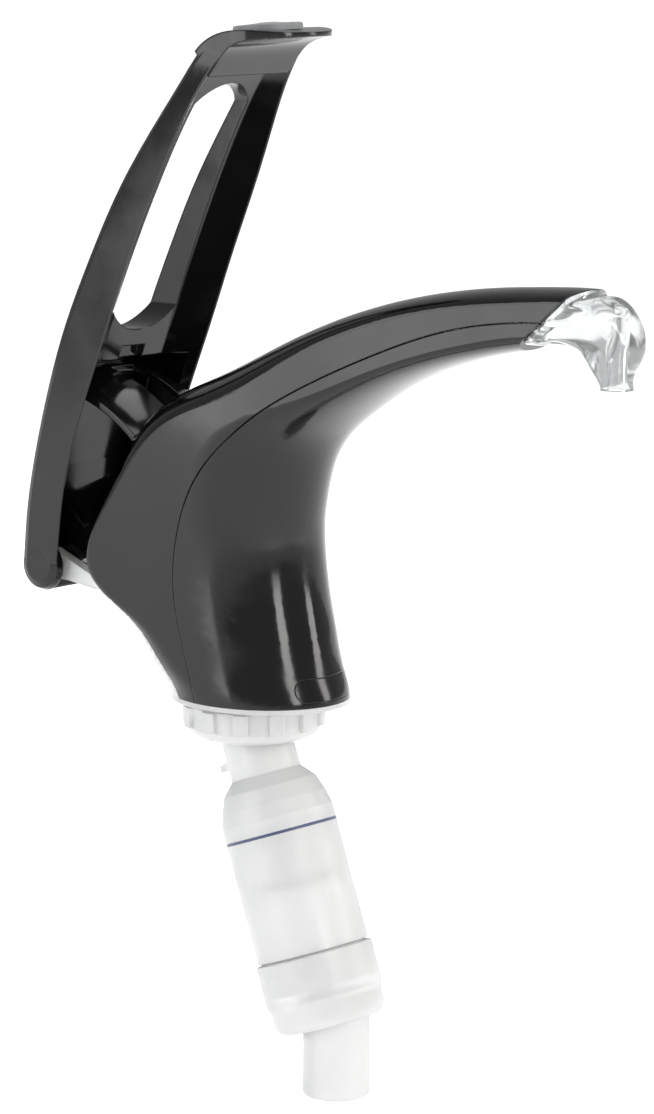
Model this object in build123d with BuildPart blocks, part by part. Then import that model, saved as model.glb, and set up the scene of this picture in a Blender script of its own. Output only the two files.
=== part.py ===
from build123d import *
from math import cos, pi, radians, sin
import os

# A lever-worked condiment pump. Millimetres. +X is the way the spout points, +Z is up.
# The origin is the middle of the underside of the base flange, which rests on the lid.

# ---------------------------------------------------------------- driving dimensions
FLANGE_T = 2.0  # base flange of the inner frame
BODY_HALF = 33.4  # half width of the housing over its flat sides
WALL = 2.8  # housing shells
SEAM_GAP = 0.4  # line between the two housing shells, and between shell and frame
PLATE_T = 1.0  # blank nameplate

TILT = 19.6  # lean of the pump axis, degrees
AXIS_X = -4.5  # where the pump axis crosses the underside of the flange

PIVOT_X, PIVOT_Z = -90.6, 48.7  # lever pivot
PIVOT_D = 5.0
LEVER_TRAVEL = 22.0  # degrees
LEVER_HALF = BODY_HALF - 1.2
LEVER_WALL = 4.0
STRAP_W = 13.0  # each strap beside the slot in the lever
DISH = 11.0  # how far the front faces of the lever slope back to the slot
PAD_D, PAD_T = 28.0, 2.5

BORE_D = 39.0  # pump chamber
BARREL_D = BORE_D + 7.4
CAP_D = BARREL_D + 2.2
TUBE_D, TUBE_BORE = 10.0, 7.0  # discharge tube, which the hollow rod slides over
ROD_D, ROD_BORE = TUBE_D + 5.0, TUBE_D + 0.7
NECK_BORE = ROD_D + 7.0
NECK_D = NECK_BORE + 7.0
DRIVE_PIN_D = 6.0
SPRING_D, SPRING_WIRE, SPRING_TURNS = ROD_D + 10.0, 2.0, 8
INLET_BALL_D, INLET_SEAT_D, INLET_LIFT = 11.0, 8.0, 2.0
OUTLET_BALL_D, OUTLET_SEAT_D, OUTLET_LIFT = 9.0, 6.4, 2.4
INTAKE_D, INTAKE_BORE = 27.4, 20.5
INTAKE_X, INTAKE_END = 43.9, -159.0

COLLAR_D, COLLAR_WALL, COLLAR_H = 50.0, 3.2, 12.5
THREAD_DEPTH, THREAD_PITCH = 1.0, 4.0
NUT_D, NUT_H = COLLAR_D + 9.0, 13.2
NUT_TOP = -2.2  # leaves room for the lid between flange and nut
NUT_LUGS = 12
SCREW_D, SCREW_HEAD, SCREW_L = 3.0, 5.8, 14.0

NOZZLE_D, NOZZLE_BORE = 12.0, 5.4

SHAFT_FIT = 0.05  # radial, between a shaft and what guides it
RUN_GAP = 0.35  # radial, between moving pieces that don't touch
ASSEMBLY_GAP = 0.15  # radial, between fixed pieces that are put together by hand

# ---------------------------------------------------------------- derived frame
t = radians(TILT)
DOWN = Vector(sin(t), 0, -cos(t))  # down the pump axis
FORE = Vector(cos(t), 0, sin(t))  # square to it, towards the spout
AXIS_AT = Vector(AXIS_X, 0, 0)
PUMP = Plane(origin=AXIS_AT, x_dir=FORE, z_dir=(0, 1, 0))  # local x radius, local y down the axis
PUMP_AXIS = Axis(AXIS_AT, DOWN)


def at(s, r=0.0):
    """The point s down the pump axis and r towards the spout."""
    return AXIS_AT + DOWN * s + FORE * r


def across(s):
    """The plane square to the pump axis at s, with its normal pointing up the axis."""
    return Plane(origin=at(s), x_dir=FORE, z_dir=-DOWN)


PIVOT = Vector(PIVOT_X, 0, PIVOT_Z)
REACH = (PIVOT - AXIS_AT).dot(-FORE)  # pivot to pump axis
HALF_TRAVEL = radians(LEVER_TRAVEL / 2)
# The drive pin swings as far outside the axis at mid travel as inside it at the ends.
ARM = REACH * 2 / (1 + cos(HALF_TRAVEL))
STROKE = 2 * ARM * sin(HALF_TRAVEL)
PIN_SWING = ARM * (1 - cos(HALF_TRAVEL))
PIVOT_S = (PIVOT - AXIS_AT).dot(DOWN)
HEAD_S = PIVOT_S - STROKE / 2  # crosshead middle, lever up
REST_ANGLE = t + HALF_TRAVEL  # drive pin, seen from the pivot
DRIVE = PIVOT + Vector(cos(REST_ANGLE), 0, sin(REST_ANGLE)) * ARM


def save(piece, label):
    piece.part.label = label
    export_step(piece.part, f"parts/{label}.step")


def turned(*profiles, plane=PUMP, axis=PUMP_AXIS):
    """A turned piece. Each profile is a closed list of (radius, distance down the axis)."""
    with BuildPart() as piece:
        for points in profiles:
            with BuildSketch(plane):
                with BuildLine():
                    Polyline(*points, close=True)
                make_face()
            revolve(axis=axis)
    return piece


def slab(points, half, smooth=()):
    """A solid with an outline in the XZ plane, half wide each side. A smooth run comes first."""
    with BuildPart() as piece:
        with BuildSketch(Plane.XZ):
            with BuildLine():
                if smooth:
                    run = Spline(*smooth)
                    Polyline(run @ 1, *points, run @ 0)
                else:
                    Polyline(*points, close=True)
            make_face()
        extrude(amount=half, both=True)
    return piece


def disc_y(x, z, d, y0, y1):
    """A cylinder along Y from y0 to y1."""
    with BuildPart() as piece:
        with BuildSketch(Plane(origin=(x, y0, z), x_dir=(1, 0, 0), z_dir=(0, 1, 0))):
            Circle(d / 2)
        extrude(amount=y1 - y0)
    return piece


# ---------------------------------------------------------------- housing envelope
# Sections that fan from the base to the tip of the spout. Each has the place of its front
# or under end, the place of its back or top end, a half width and the depths of the rounded
# ends. Inset sections make the hollow.
SECTIONS = (
    ((42.1, 0.0), (-34.7, 0.0), 1.0, 37.9, 37.9),
    ((42.1, FLANGE_T), (-34.7, FLANGE_T), 1.0, 37.9, 37.9),
    ((38.6, 14.0), (-42.0, 14.0), 1.0, 38.0, 33.0),
    ((35.2, 28.0), (-52.0, 29.0), 1.0, 38.5, 26.0),
    ((31.8, 44.0), (-66.0, 42.0), 1.0, 39.0, 15.0),
    ((29.4, 62.0), (-70.0, 54.0), 1.0, 39.0, 9.5),
    ((30.0, 80.0), (-58.0, 84.0), 1.0, 38.0, 11.5),
    ((33.5, 95.5), (-37.0, 118.0), 1.0, 34.0, 17.0),
    ((39.5, 107.0), (-4.0, 134.8), 0.98, 24.0, 16.5),
    ((47.5, 115.0), (22.0, 147.0), 0.92, 14.5, 14.2),
    ((60.5, 124.0), (45.0, 157.0), 0.82, 9.5, 11.0),
    ((77.2, 133.2), (68.0, 164.9), 0.71, 7.5, 8.8),
    ((100.0, 142.5), (95.0, 171.4), 0.61, 6.5, 7.0),
    ((125.0, 149.6), (122.0, 175.3), 0.51, 6.0, 6.0),
    ((148.0, 153.9), (147.0, 177.2), 0.43, 5.5, 5.5),
    ((173.0, 155.6), (173.0, 177.6), 0.38, 5.0, 5.0),
)


def housing_solid(inset):
    """The swan-neck body, all its faces moved inwards by inset."""
    with BuildPart() as body:
        for low, high, share, nose, crown in SECTIONS:
            front = Vector(low[0], 0, low[1])
            back = Vector(high[0], 0, high[1])
            run = (back - front).normalized()
            length = (back - front).length - 2 * inset
            half = BODY_HALF * share - inset
            normal = run.cross(Vector(0, 1, 0))
            middle = (front + back) / 2
            with BuildSketch(Plane(origin=middle, x_dir=run, z_dir=normal)):
                with BuildLine():
                    nose_at = nose - length / 2 - inset
                    crown_at = length / 2 - crown + inset
                    EllipticalCenterArc((nose_at, 0), nose - inset, half, 90, arc_size=180)
                    Line((nose_at, -half), (crown_at, -half))
                    EllipticalCenterArc((crown_at, 0), crown - inset, half, 270, arc_size=180)
                    Line((crown_at, half), (nose_at, half))
                make_face()
        loft()
    return body


envelope = housing_solid(0.0)
hollow = housing_solid(WALL)

# Side views of the lines that divide the envelope.
SEAM = (
    (-2.6, -1.0), (-6.8, 17.2), (-14.0, 47.9), (-12.4, 67.7), (-3.8, 90.8), (12.9, 109.6),
    (45.9, 131.8), (81.7, 148.6), (117.7, 160.6), (145.0, 164.6), (180.0, 165.0),
)
TAIL_EDGE = ((-13.0, -1.0), (-19.0, 9.0), (-33.0, 27.0), (-50.0, 39.5), (-74.0, 46.0))
REAR_EDGE = (
    (-76.0, 40.0), (-70.0, 51.4), (-60.0, 75.2), (-42.6, 92.6), (-38.0, 104.0), (-36.5, 124.0),
)
SPOUT_CUT = ((135.0, 148.0), (173.9, 182.0))  # slanted end of the black spout


def shifted(points, dx, dz):
    return tuple((x + dx, z + dz) for x, z in points)


half_gap = SEAM_GAP / 2
front_zone = slab(
    ((200, 165), (200, FLANGE_T), (-2.6, FLANGE_T)), 60, shifted(SEAM, half_gap, -half_gap)
)
rear_zone = slab(
    ((200, 220), (-140, 220), (-140, -1)), 60, shifted(SEAM, -half_gap, half_gap)
)
tail_zone = slab(((-140, 46), (-140, -5), (-13, -5)), 60, TAIL_EDGE)
tail_gap_zone = slab(
    ((-140, 46), (-140, -5), (-13, -5)), 60, shifted(TAIL_EDGE, SEAM_GAP, SEAM_GAP)
)
behind_zone = slab(((-36.5, 220), (-140, 220), (-140, 30), (-76, 30)), 60, REAR_EDGE)
throat_zone = slab(
    (
        (-36.6, 130), (-36.6, 99), (-47, 85), (-53, 74), (-58, 57), (-60, 44), (-140, 44),
        (-140, 130),
    ),
    BODY_HALF - WALL,
)
spout_end_zone = slab((SPOUT_CUT[0], (210, 148), (210, 182), SPOUT_CUT[1]), 60)

# ---------------------------------------------------------------- shells and nameplate
SCREWS_FRONT = [(31.0, 13.0), (31.0, -13.0)]
SCREWS_REAR = [(-9.5, BODY_HALF - 6.0), (-9.5, 6.0 - BODY_HALF)]
BOSS_D, BOSS_H = 8.0, 13.0
RIB_HALF = 1.2
PILOT_D = 2.6
PLATE_Z, PLATE_W, PLATE_H = 8.6, 32.0, 9.0


def boss_posts(spots, rib_to):
    """Screw posts that stand on the flange, each with a rib to the shell wall."""
    with BuildPart() as posts:
        with BuildSketch(Plane.XY.offset(FLANGE_T)):
            with Locations(*spots):
                Circle(BOSS_D / 2)
            for x, y in spots:
                with BuildLine():
                    Polyline(
                        (x, y - RIB_HALF), (x + rib_to, y - RIB_HALF), (x + rib_to, y + RIB_HALF),
                        (x, y + RIB_HALF), close=True,
                    )
                make_face()
        extrude(amount=BOSS_H)
        add(envelope.part, mode=Mode.INTERSECT)
    return posts


front_posts = boss_posts(SCREWS_FRONT, 12.0)
rear_posts = boss_posts(SCREWS_REAR, 4.0)
plate_back = housing_solid(PLATE_T)


def plate_prism(grow):
    with BuildPart() as prism:
        with BuildSketch(Plane.YZ.offset(20)):
            with Locations((0, PLATE_Z)):
                SlotOverall(PLATE_W + 2 * grow, PLATE_H + 2 * grow)
        extrude(amount=40)
    return prism


plate_outline = plate_prism(0.0)
with BuildPart() as nameplate:
    add(plate_outline.part)
    add(envelope.part, mode=Mode.INTERSECT)
    add(plate_back.part, mode=Mode.SUBTRACT)
save(nameplate, "nameplate")

seat_outline = plate_prism(ASSEMBLY_GAP)
with BuildPart() as plate_seat:
    add(seat_outline.part)
    add(plate_back.part, mode=Mode.SUBTRACT)

with BuildPart() as pilots:
    with BuildSketch(Plane.XY):
        with Locations(*SCREWS_FRONT, *SCREWS_REAR):
            Circle(PILOT_D / 2)
    extrude(amount=SCREW_L + 1.5)

with BuildPart() as below_flange_top:
    with BuildSketch(Plane.XY.offset(FLANGE_T)):
        Rectangle(400, 200)
    extrude(amount=-20)

with BuildPart() as front_shell:
    add(envelope.part)
    add(hollow.part, mode=Mode.SUBTRACT)
    add(front_posts.part)
    add(front_zone.part, mode=Mode.INTERSECT)
    add(below_flange_top.part, mode=Mode.SUBTRACT)
    add(spout_end_zone.part, mode=Mode.SUBTRACT)
    add(plate_seat.part, mode=Mode.SUBTRACT)
    add(pilots.part, mode=Mode.SUBTRACT)
save(front_shell, "front_shell")

with BuildPart() as rear_shell:
    add(envelope.part)
    add(hollow.part, mode=Mode.SUBTRACT)
    add(rear_posts.part)
    add(rear_zone.part, mode=Mode.INTERSECT)
    add(below_flange_top.part, mode=Mode.SUBTRACT)
    add(tail_gap_zone.part, mode=Mode.SUBTRACT)
    add(behind_zone.part, mode=Mode.SUBTRACT)
    add(throat_zone.part, mode=Mode.SUBTRACT)
    add(spout_end_zone.part, mode=Mode.SUBTRACT)
    add(pilots.part, mode=Mode.SUBTRACT)
save(rear_shell, "rear_shell")


# ---------------------------------------------------------------- inner frame
SOCKET_WALL = 3.6
SOCKET_TOP = -24.0  # along the pump axis
SOCKET_BORE = NECK_D + 2 * ASSEMBLY_GAP
EAR_D, EAR_T = PIVOT_D + 8.0, 5.0
EAR_Y = LEVER_HALF - LEVER_WALL - EAR_T - 3.6
LUG_S, LUG_H, LUG_D, LUG_W = -13.0, 4.0, NECK_D + 4.2, 8.0
BAYONET_GAP = 0.3
WEB_RECESS = 0.6
collar_in = COLLAR_D / 2 - THREAD_DEPTH - COLLAR_WALL

with BuildPart() as flange_cut:
    with BuildSketch(Plane.XY):
        Rectangle(400, 200)
    extrude(amount=FLANGE_T)
    add(envelope.part, mode=Mode.INTERSECT)

with BuildPart() as tail_floor:
    add(envelope.part)
    add(hollow.part, mode=Mode.SUBTRACT)
    add(tail_zone.part, mode=Mode.INTERSECT)
    add(behind_zone.part, mode=Mode.SUBTRACT)

collar_rings = [-2.5 - THREAD_PITCH * n for n in range(3)]
pivot_hole = disc_y(PIVOT_X, PIVOT_Z, PIVOT_D + 2 * SHAFT_FIT, -40, 40)
with BuildPart() as inner_frame:
    add(flange_cut.part)
    add(tail_floor.part)
    # threaded collar under the flange
    with BuildSketch(Plane.XY):
        Circle(COLLAR_D / 2 - THREAD_DEPTH)
        Circle(collar_in, mode=Mode.SUBTRACT)
    extrude(amount=-COLLAR_H)
    # the web inside the collar is recessed, so that only the rim of the flange rests on the lid
    with BuildSketch(Plane.XY):
        Circle(collar_in)
    extrude(amount=WEB_RECESS, mode=Mode.SUBTRACT)
    for z in collar_rings:
        with BuildSketch(Plane.XZ):
            with BuildLine():
                r0 = COLLAR_D / 2 - THREAD_DEPTH
                Polyline(
                    (r0 - 0.5, z), (r0, z), (r0 + THREAD_DEPTH, z - 0.8), (r0 + THREAD_DEPTH, z - 1.2),
                    (r0, z - 2.0), (r0 - 0.5, z - 2.0), close=True,
                )
            make_face()
        revolve(axis=Axis.Z)
    # leaning socket that takes the pump, cut off level with the collar
    with BuildSketch(across(SOCKET_TOP)):
        Circle(SOCKET_BORE / 2 + SOCKET_WALL)
    extrude(amount=-60)
    with BuildSketch(Plane.XY.offset(-COLLAR_H)):
        Rectangle(200, 200)
    extrude(amount=-80, mode=Mode.SUBTRACT)
    with BuildSketch(across(SOCKET_TOP - 30)):
        Circle(SOCKET_BORE / 2)
    extrude(amount=-120, mode=Mode.SUBTRACT)
    # bayonet groove and its two ways in
    with BuildSketch(across(LUG_S - LUG_H / 2 - BAYONET_GAP)):
        Circle(LUG_D / 2 + BAYONET_GAP)
    extrude(amount=-(LUG_H + 2 * BAYONET_GAP), mode=Mode.SUBTRACT)
    with BuildSketch(across(LUG_S)):
        Rectangle(LUG_W + 2 * BAYONET_GAP, LUG_D + 2 * BAYONET_GAP)
    extrude(amount=-70, mode=Mode.SUBTRACT)
    # ears for the lever pivot
    for y in (EAR_Y, -EAR_Y - EAR_T):
        with BuildSketch(Plane.XZ.offset(-y)):
            with BuildLine():
                Polyline(
                    (-58, 41.2), (-66, 45.6), (PIVOT_X + 2, PIVOT_Z + EAR_D / 2 - 0.4),
                    (PIVOT_X - 3, PIVOT_Z - EAR_D / 2 + 0.9), (-80, 42.6), (-66, 40.6), close=True,
                )
            make_face()
            with Locations((PIVOT_X, PIVOT_Z)):
                Circle(EAR_D / 2)
        extrude(amount=-EAR_T)
    add(pivot_hole.part, mode=Mode.SUBTRACT)
    # screw holes with countersinks from below
    with BuildSketch(Plane.XY.offset(-1)):
        with Locations(*SCREWS_FRONT, *SCREWS_REAR):
            Circle(SCREW_D / 2 + ASSEMBLY_GAP)
    extrude(amount=FLANGE_T + 2, mode=Mode.SUBTRACT)
    with BuildSketch(Plane.XY):
        with Locations(*SCREWS_FRONT, *SCREWS_REAR):
            Circle(SCREW_HEAD / 2 + ASSEMBLY_GAP)
    extrude(amount=1.2, mode=Mode.SUBTRACT)
save(inner_frame, "inner_frame")

with BuildPart() as shell_screws:
    with BuildSketch(Plane.XY.offset(0.2)):
        with Locations(*SCREWS_FRONT, *SCREWS_REAR):
            Circle(SCREW_HEAD / 2)
    extrude(amount=1.0)
    with BuildSketch(Plane.XY.offset(0.2)):
        with Locations(*SCREWS_FRONT, *SCREWS_REAR):
            Circle(PILOT_D / 2)
    extrude(amount=SCREW_L)
    with BuildSketch(Plane.XY.offset(0.2)):
        with Locations(*SCREWS_FRONT, *SCREWS_REAR):
            RegularPolygon(1.1, 6)
    extrude(amount=0.7, mode=Mode.SUBTRACT)
save(shell_screws, "shell_screws")

# ---------------------------------------------------------------- lock nut
NUT_CLEAR = 0.35
NUT_MOUTH, NUT_LIP = COLLAR_D - 11.0, 1.8
NUT_BODY = NUT_D / 2 - 2.2
with BuildPart() as lock_nut:
    nut_bore = COLLAR_D / 2 + NUT_CLEAR
    with BuildSketch(Plane.XZ):
        with BuildLine():
            top, low = NUT_TOP, NUT_TOP - NUT_H
            Polyline(
                (nut_bore, top), (NUT_BODY, top), (NUT_BODY, low + 4.2), (NUT_BODY - 1.4, low + 1.8),
                (NUT_BODY - 4.8, low), (NUT_MOUTH / 2, low), (NUT_MOUTH / 2, low + NUT_LIP),
                (nut_bore, low + NUT_LIP), close=True,
            )
        make_face()
    revolve(axis=Axis.Z)
    with BuildSketch(Plane.XY.offset(NUT_TOP)):
        with PolarLocations(NUT_D / 2 - 2.1, NUT_LUGS):
            RectangleRounded(4.0, 6.4, 0.8)
    extrude(amount=-(NUT_H - 5.0))
    for z in collar_rings[:2]:
        with BuildSketch(Plane.XZ):
            with BuildLine():
                Polyline(
                    (nut_bore + 0.4, z - 2.5), (nut_bore, z - 2.5), (nut_bore - 0.7, z - 2.9),
                    (nut_bore - 0.7, z - 3.1), (nut_bore, z - 3.5), (nut_bore + 0.4, z - 3.5), close=True,
                )
            make_face()
        revolve(axis=Axis.Z)
save(lock_nut, "lock_nut")

# ---------------------------------------------------------------- pump head, barrel and cap
BELL_S = 33.0  # where the neck opens into the bell
SEAL_S, SEAL_T = 57.4, 1.2
BARREL_END = 122.0
CAP_TOP = 108.5
SPIGOT_L = 6.0
CHAMBER = BORE_D / 2
barrel_r = BARREL_D / 2
seal_top = SEAL_S - SEAL_T / 2
seal_low = SEAL_S + SEAL_T / 2
GUIDE_TOP = SOCKET_TOP + 4.0  # top of the rod guide's flange
NECK_TOP = GUIDE_TOP + 2.0
GUIDE_L = 14.0
neck_r = NECK_D / 2
neck_in = NECK_BORE / 2

pump_head = turned(
    [
        (neck_in, NECK_TOP), (neck_r, NECK_TOP), (neck_r, BELL_S), (barrel_r - 3.8, BELL_S + 5.4),
        (barrel_r - 1.4, BELL_S + 12.0), (barrel_r, BELL_S + 18.0), (barrel_r, seal_top),
        (CHAMBER - ASSEMBLY_GAP, seal_top), (CHAMBER - ASSEMBLY_GAP, seal_top + SPIGOT_L),
        (CHAMBER - 2.2, seal_top + SPIGOT_L), (CHAMBER - 2.2, BELL_S + 19.0),
        (CHAMBER - 1.3, BELL_S + 13.0), (CHAMBER - 3.7, BELL_S + 8.0), (neck_in, BELL_S + 3.0),
    ]
)
with BuildPart() as lugs:
    with BuildSketch(across(LUG_S - LUG_H / 2)):
        Rectangle(LUG_D, LUG_W)
        Circle(neck_r - 1, mode=Mode.SUBTRACT)
    extrude(amount=-LUG_H)
    with BuildSketch(across(LUG_S - LUG_H)):
        Circle(LUG_D / 2)
    extrude(amount=-LUG_H * 2, mode=Mode.INTERSECT)
TAB_S, TAB_L = 26.5, 7.0
tab_end = -neck_r - TAB_L
with BuildPart() as finger_tab:
    with BuildSketch(Plane(origin=at(TAB_S), x_dir=FORE, z_dir=(0, 1, 0))):
        with BuildLine():
            Polyline((1 - neck_r, -3.2), (tab_end, -1.2), (tab_end, 1.2), (1 - neck_r, 2.2), close=True)
        make_face()
    extrude(amount=3.0, both=True)
with BuildPart() as head_whole:
    add(pump_head.part)
    add(lugs.part)
    add(finger_tab.part)
save(head_whole, "pump_head")

save(
    turned([(CHAMBER, seal_top), (barrel_r, seal_top), (barrel_r, seal_low), (CHAMBER, seal_low)]),
    "barrel_seal",
)

BARREL_NECK = barrel_r - 1.7  # thinner end that screws into the cap
barrel_profile = [
    (CHAMBER, seal_low), (barrel_r, seal_low), (barrel_r, CAP_TOP - 1.0), (BARREL_NECK, CAP_TOP - 0.4)
]
for ridge in (CAP_TOP + 2.0, CAP_TOP + 6.0, CAP_TOP + 10.0):
    barrel_profile += [
        (BARREL_NECK, ridge), (BARREL_NECK + 0.7, ridge + 0.7), (BARREL_NECK + 0.7, ridge + 1.3),
        (BARREL_NECK, ridge + 2.0),
    ]
barrel_profile += [(BARREL_NECK, BARREL_END), (CHAMBER, BARREL_END)]
save(turned(barrel_profile), "barrel")

CAP_FLOOR, CAP_FLOOR_T = BARREL_END + 0.3, 4.0
CAP_SKIRT = BARREL_NECK + 1.0
cap_r = CAP_D / 2
CAP_END = 138.5
cap_body = turned(
    [
        (INLET_SEAT_D / 2, CAP_FLOOR), (CAP_SKIRT, CAP_FLOOR), (CAP_SKIRT, CAP_TOP), (cap_r - 0.5, CAP_TOP),
        (cap_r, CAP_TOP + 0.6), (cap_r, CAP_END - 12.0), (cap_r - 1.2, CAP_END - 10.5),
        (cap_r - 1.2, CAP_END - 4.0), (cap_r - 4.5, CAP_END), (cap_r - 7.5, CAP_END),
        (cap_r - 7.5, CAP_FLOOR + CAP_FLOOR_T), (INLET_SEAT_D / 2, CAP_FLOOR + CAP_FLOOR_T),
    ]
)


def upright_to_floor(d, s):
    """An upright cylinder from the intake's end to the plane square to the pump axis at s."""
    with BuildPart() as post:
        with BuildSketch(Plane.XY.offset(INTAKE_END)):
            with Locations((INTAKE_X, 0)):
                Circle(d / 2)
        extrude(amount=60)
        with BuildSketch(across(s)):
            Circle(80)
        extrude(amount=60, mode=Mode.SUBTRACT)
    return post


NOTCH_W, NOTCH_H = 7.0, 5.0
intake_tail = upright_to_floor(INTAKE_D, CAP_FLOOR + 1)
intake_bore = upright_to_floor(INTAKE_BORE, CAP_FLOOR + CAP_FLOOR_T)
with BuildPart() as bottom_cap:
    add(cap_body.part)
    add(intake_tail.part)
    add(intake_bore.part, mode=Mode.SUBTRACT)
    with BuildSketch(across(CAP_FLOOR - 1)):
        Circle(INLET_SEAT_D / 2)
    extrude(amount=-CAP_FLOOR_T - 1.5, mode=Mode.SUBTRACT)
    # notches round the open end, so that it can stand on the bottom of the pan
    with BuildSketch(Plane.XY.offset(INTAKE_END)):
        with Locations((INTAKE_X, 0)):
            Rectangle(INTAKE_D + 4, NOTCH_W)
            Rectangle(NOTCH_W, INTAKE_D + 4)
    extrude(amount=NOTCH_H, mode=Mode.SUBTRACT)
save(bottom_cap, "bottom_cap")

# ---------------------------------------------------------------- inlet valve
inlet_r = INLET_BALL_D / 2
inlet_seat_r = INLET_SEAT_D / 2
BALL_GAP = 0.03  # between a resting ball and its seat
INLET_S = CAP_FLOOR - (inlet_r**2 - inlet_seat_r**2) ** 0.5 - BALL_GAP
with BuildPart() as inlet_ball:
    with Locations(at(INLET_S)):
        Sphere(inlet_r)
save(inlet_ball, "inlet_ball")

CAGE_T, CAGE_LEGS = 1.4, 4
cage_top = INLET_S - inlet_r - INLET_LIFT - CAGE_T - 0.1
cage_r = inlet_r + RUN_GAP + CAGE_T
cage_ring = turned(
    [
        (2.6, cage_top), (cage_r, cage_top), (cage_r, CAP_FLOOR), (cage_r - CAGE_T, CAP_FLOOR),
        (cage_r - CAGE_T, cage_top + CAGE_T), (2.6, cage_top + CAGE_T),
    ]
)
with BuildPart() as inlet_cage:
    add(cage_ring.part)
    with BuildSketch(across(cage_top + 3.0)):
        with PolarLocations(0, CAGE_LEGS):
            Rectangle(4 * cage_r, 4.6)
    extrude(amount=-5.0, mode=Mode.SUBTRACT)
save(inlet_cage, "inlet_cage")

# ---------------------------------------------------------------- piston, rod and outlet valve
PISTON_L = 16.0
PISTON_LOW = cage_top - 2.2 - STROKE  # face of the piston, lever up
PISTON_HUB_R = ROD_D / 2 + 3.0
DISC_T = 8.0
piston_r = CHAMBER - 0.4
groove_r = CHAMBER - 3.0
rod_r = ROD_D / 2
floor_t = 2.0
outlet_r = OUTLET_BALL_D / 2
outlet_seat_r = OUTLET_SEAT_D / 2
rod_low = PISTON_LOW - floor_t
save(
    turned(
        [
            (outlet_seat_r, PISTON_LOW), (piston_r, PISTON_LOW), (piston_r, PISTON_LOW - 2.2),
            (groove_r, PISTON_LOW - 2.2), (groove_r, PISTON_LOW - 5.8), (piston_r, PISTON_LOW - 5.8),
            (piston_r, PISTON_LOW - DISC_T), (PISTON_HUB_R, PISTON_LOW - DISC_T),
            (PISTON_HUB_R, PISTON_LOW - PISTON_L), (rod_r, PISTON_LOW - PISTON_L), (rod_r, rod_low),
            (outlet_seat_r, rod_low),
        ]
    ),
    "piston",
)
save(
    turned(
        [
            (groove_r, PISTON_LOW - 2.3), (CHAMBER - SHAFT_FIT, PISTON_LOW - 2.3),
            (CHAMBER - 0.9, PISTON_LOW - 4.0), (CHAMBER - SHAFT_FIT, PISTON_LOW - 5.7),
            (groove_r, PISTON_LOW - 5.7),
        ]
    ),
    "piston_seal",
)
OUTLET_S = rod_low - (outlet_r**2 - outlet_seat_r**2) ** 0.5 - BALL_GAP
with BuildPart() as outlet_ball:
    with Locations(at(OUTLET_S)):
        Sphere(outlet_r)
save(outlet_ball, "outlet_ball")

STOP_PIN_D = 1.6
stop_s = OUTLET_S - outlet_r - OUTLET_LIFT - STOP_PIN_D / 2 - 0.1
with BuildPart() as ball_stop_pin:
    with BuildSketch(Plane(origin=at(stop_s), x_dir=FORE, z_dir=(0, 1, 0))):
        Circle(STOP_PIN_D / 2)
    extrude(amount=rod_r - 0.3, both=True)
save(ball_stop_pin, "ball_stop_pin")

ARM_T = 4.4  # fork arms of the lever, beside the ears
ARM_Y = EAR_Y - ARM_T - 1.0
HEAD_L, HEAD_HALF, HEAD_W = 12.0, ARM_Y - 0.9, ROD_D + 8.0  # along the axis, half width, depth
CLIP_T, CLIP_D, CLIP_GROOVE = 1.0, ROD_D + 3.6, 1.0
ROD_TOP_L = 5.0  # rod beyond the crosshead
head_top = HEAD_S - HEAD_L / 2
head_low = HEAD_S + HEAD_L / 2
rod_top = head_top - ROD_TOP_L
rod_bore_r = ROD_BORE / 2
tube_r = TUBE_D / 2
SHOULDER_R, SHOULDER_T = rod_r + 1.6, 2.0
rod_body = turned(
    [
        (tube_r + RUN_GAP, rod_top), (rod_r, rod_top), (rod_r, head_top - 0.1 - CLIP_T),
        (rod_r - CLIP_GROOVE, head_top - 0.1 - CLIP_T), (rod_r - CLIP_GROOVE, head_top - 0.1),
        (rod_r, head_top - 0.1), (rod_r, head_low), (SHOULDER_R, head_low),
        (SHOULDER_R, head_low + SHOULDER_T), (rod_r, head_low + SHOULDER_T), (rod_r, rod_low),
        (rod_bore_r, rod_low), (rod_bore_r, rod_top + 3.2), (tube_r + 1.5, rod_top + 3.2),
        (tube_r + 1.5, rod_top + 1.0), (tube_r + RUN_GAP, rod_top + 1.0),
    ]
)
with BuildPart() as plunger_rod:
    add(rod_body.part)
    with BuildSketch(Plane(origin=at(stop_s), x_dir=FORE, z_dir=(0, 1, 0))):
        Circle(STOP_PIN_D / 2)
    extrude(amount=rod_r + 5, both=True, mode=Mode.SUBTRACT)
save(plunger_rod, "plunger_rod")
ring_s = rod_top + 2.1
with BuildPart() as rod_oring:
    with BuildSketch(PUMP):
        with Locations((tube_r + 1.5 - 1.4 / 2, ring_s)):
            Circle(1.4 / 2)
    revolve(axis=PUMP_AXIS)
save(rod_oring, "rod_oring")

with BuildPart() as rod_clip:
    with BuildSketch(across(head_top - 0.1 - CLIP_T)):
        Circle(CLIP_D / 2)
        Circle(rod_r - CLIP_GROOVE, mode=Mode.SUBTRACT)
        with Locations((CLIP_D / 2, 0)):
            Rectangle(CLIP_D, 2 * (rod_r - CLIP_GROOVE) * 0.8, mode=Mode.SUBTRACT)
    extrude(amount=-CLIP_T)
save(rod_clip, "rod_clip")

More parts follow.
